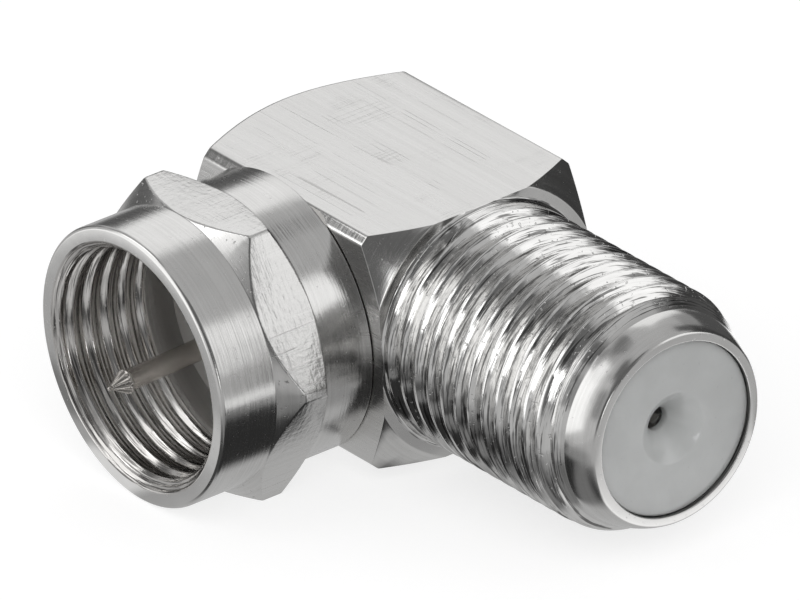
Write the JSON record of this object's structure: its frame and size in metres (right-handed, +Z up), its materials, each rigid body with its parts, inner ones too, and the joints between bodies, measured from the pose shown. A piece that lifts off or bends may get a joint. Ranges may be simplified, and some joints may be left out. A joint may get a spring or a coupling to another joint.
{
  "type": "coax adapter",
  "caption": "Right-angle coaxial adapter: a plug with a captive hexagon nut on the side of a square bar, and a threaded jack with a funnel-faced insulator on its end.",
  "frame": {"origin": "on the bar's underside, straight below the point where the two connector axes cross", "axes": "+X out of the jack, -Y out of the plug, +Z up, away from the underside"},
  "size_m": [0.0232, 0.0176, 0.0109],
  "materials": {
    "bar_nickel": "nickel plate on milled flats and turned, bright barrel",
    "nut_nickel": "nickel plate, brushed round the barrel, bright at the collar",
    "inner_nickel": "bright nickel plate",
    "pin_metal": "drawn wire, tin plated",
    "contact_bronze": "spring bronze",
    "milky_plastic": "milky polyethylene, slightly see-through",
    "white_plastic": "white polyethylene"
  },
  "bodies": {
    "elbow": {"body": "bar_nickel", "spigot": "inner_nickel", "pin_insulator": "white_plastic", "centre_pin": "pin_metal", "jack_contact": "contact_bronze", "jack_insulator": "milky_plastic", "rear_insulator": "white_plastic", "rear_plug": "inner_nickel"},
    "nut": {"coupling_nut": "nut_nickel"}
  },
  "joints": [
    {"name": "nut_spin", "type": "hinge", "parent": "elbow", "child": "nut", "pos_m": [0, -0.0053, 0.00476], "axis": [0, -1, 0], "continuous": true}
  ]
}
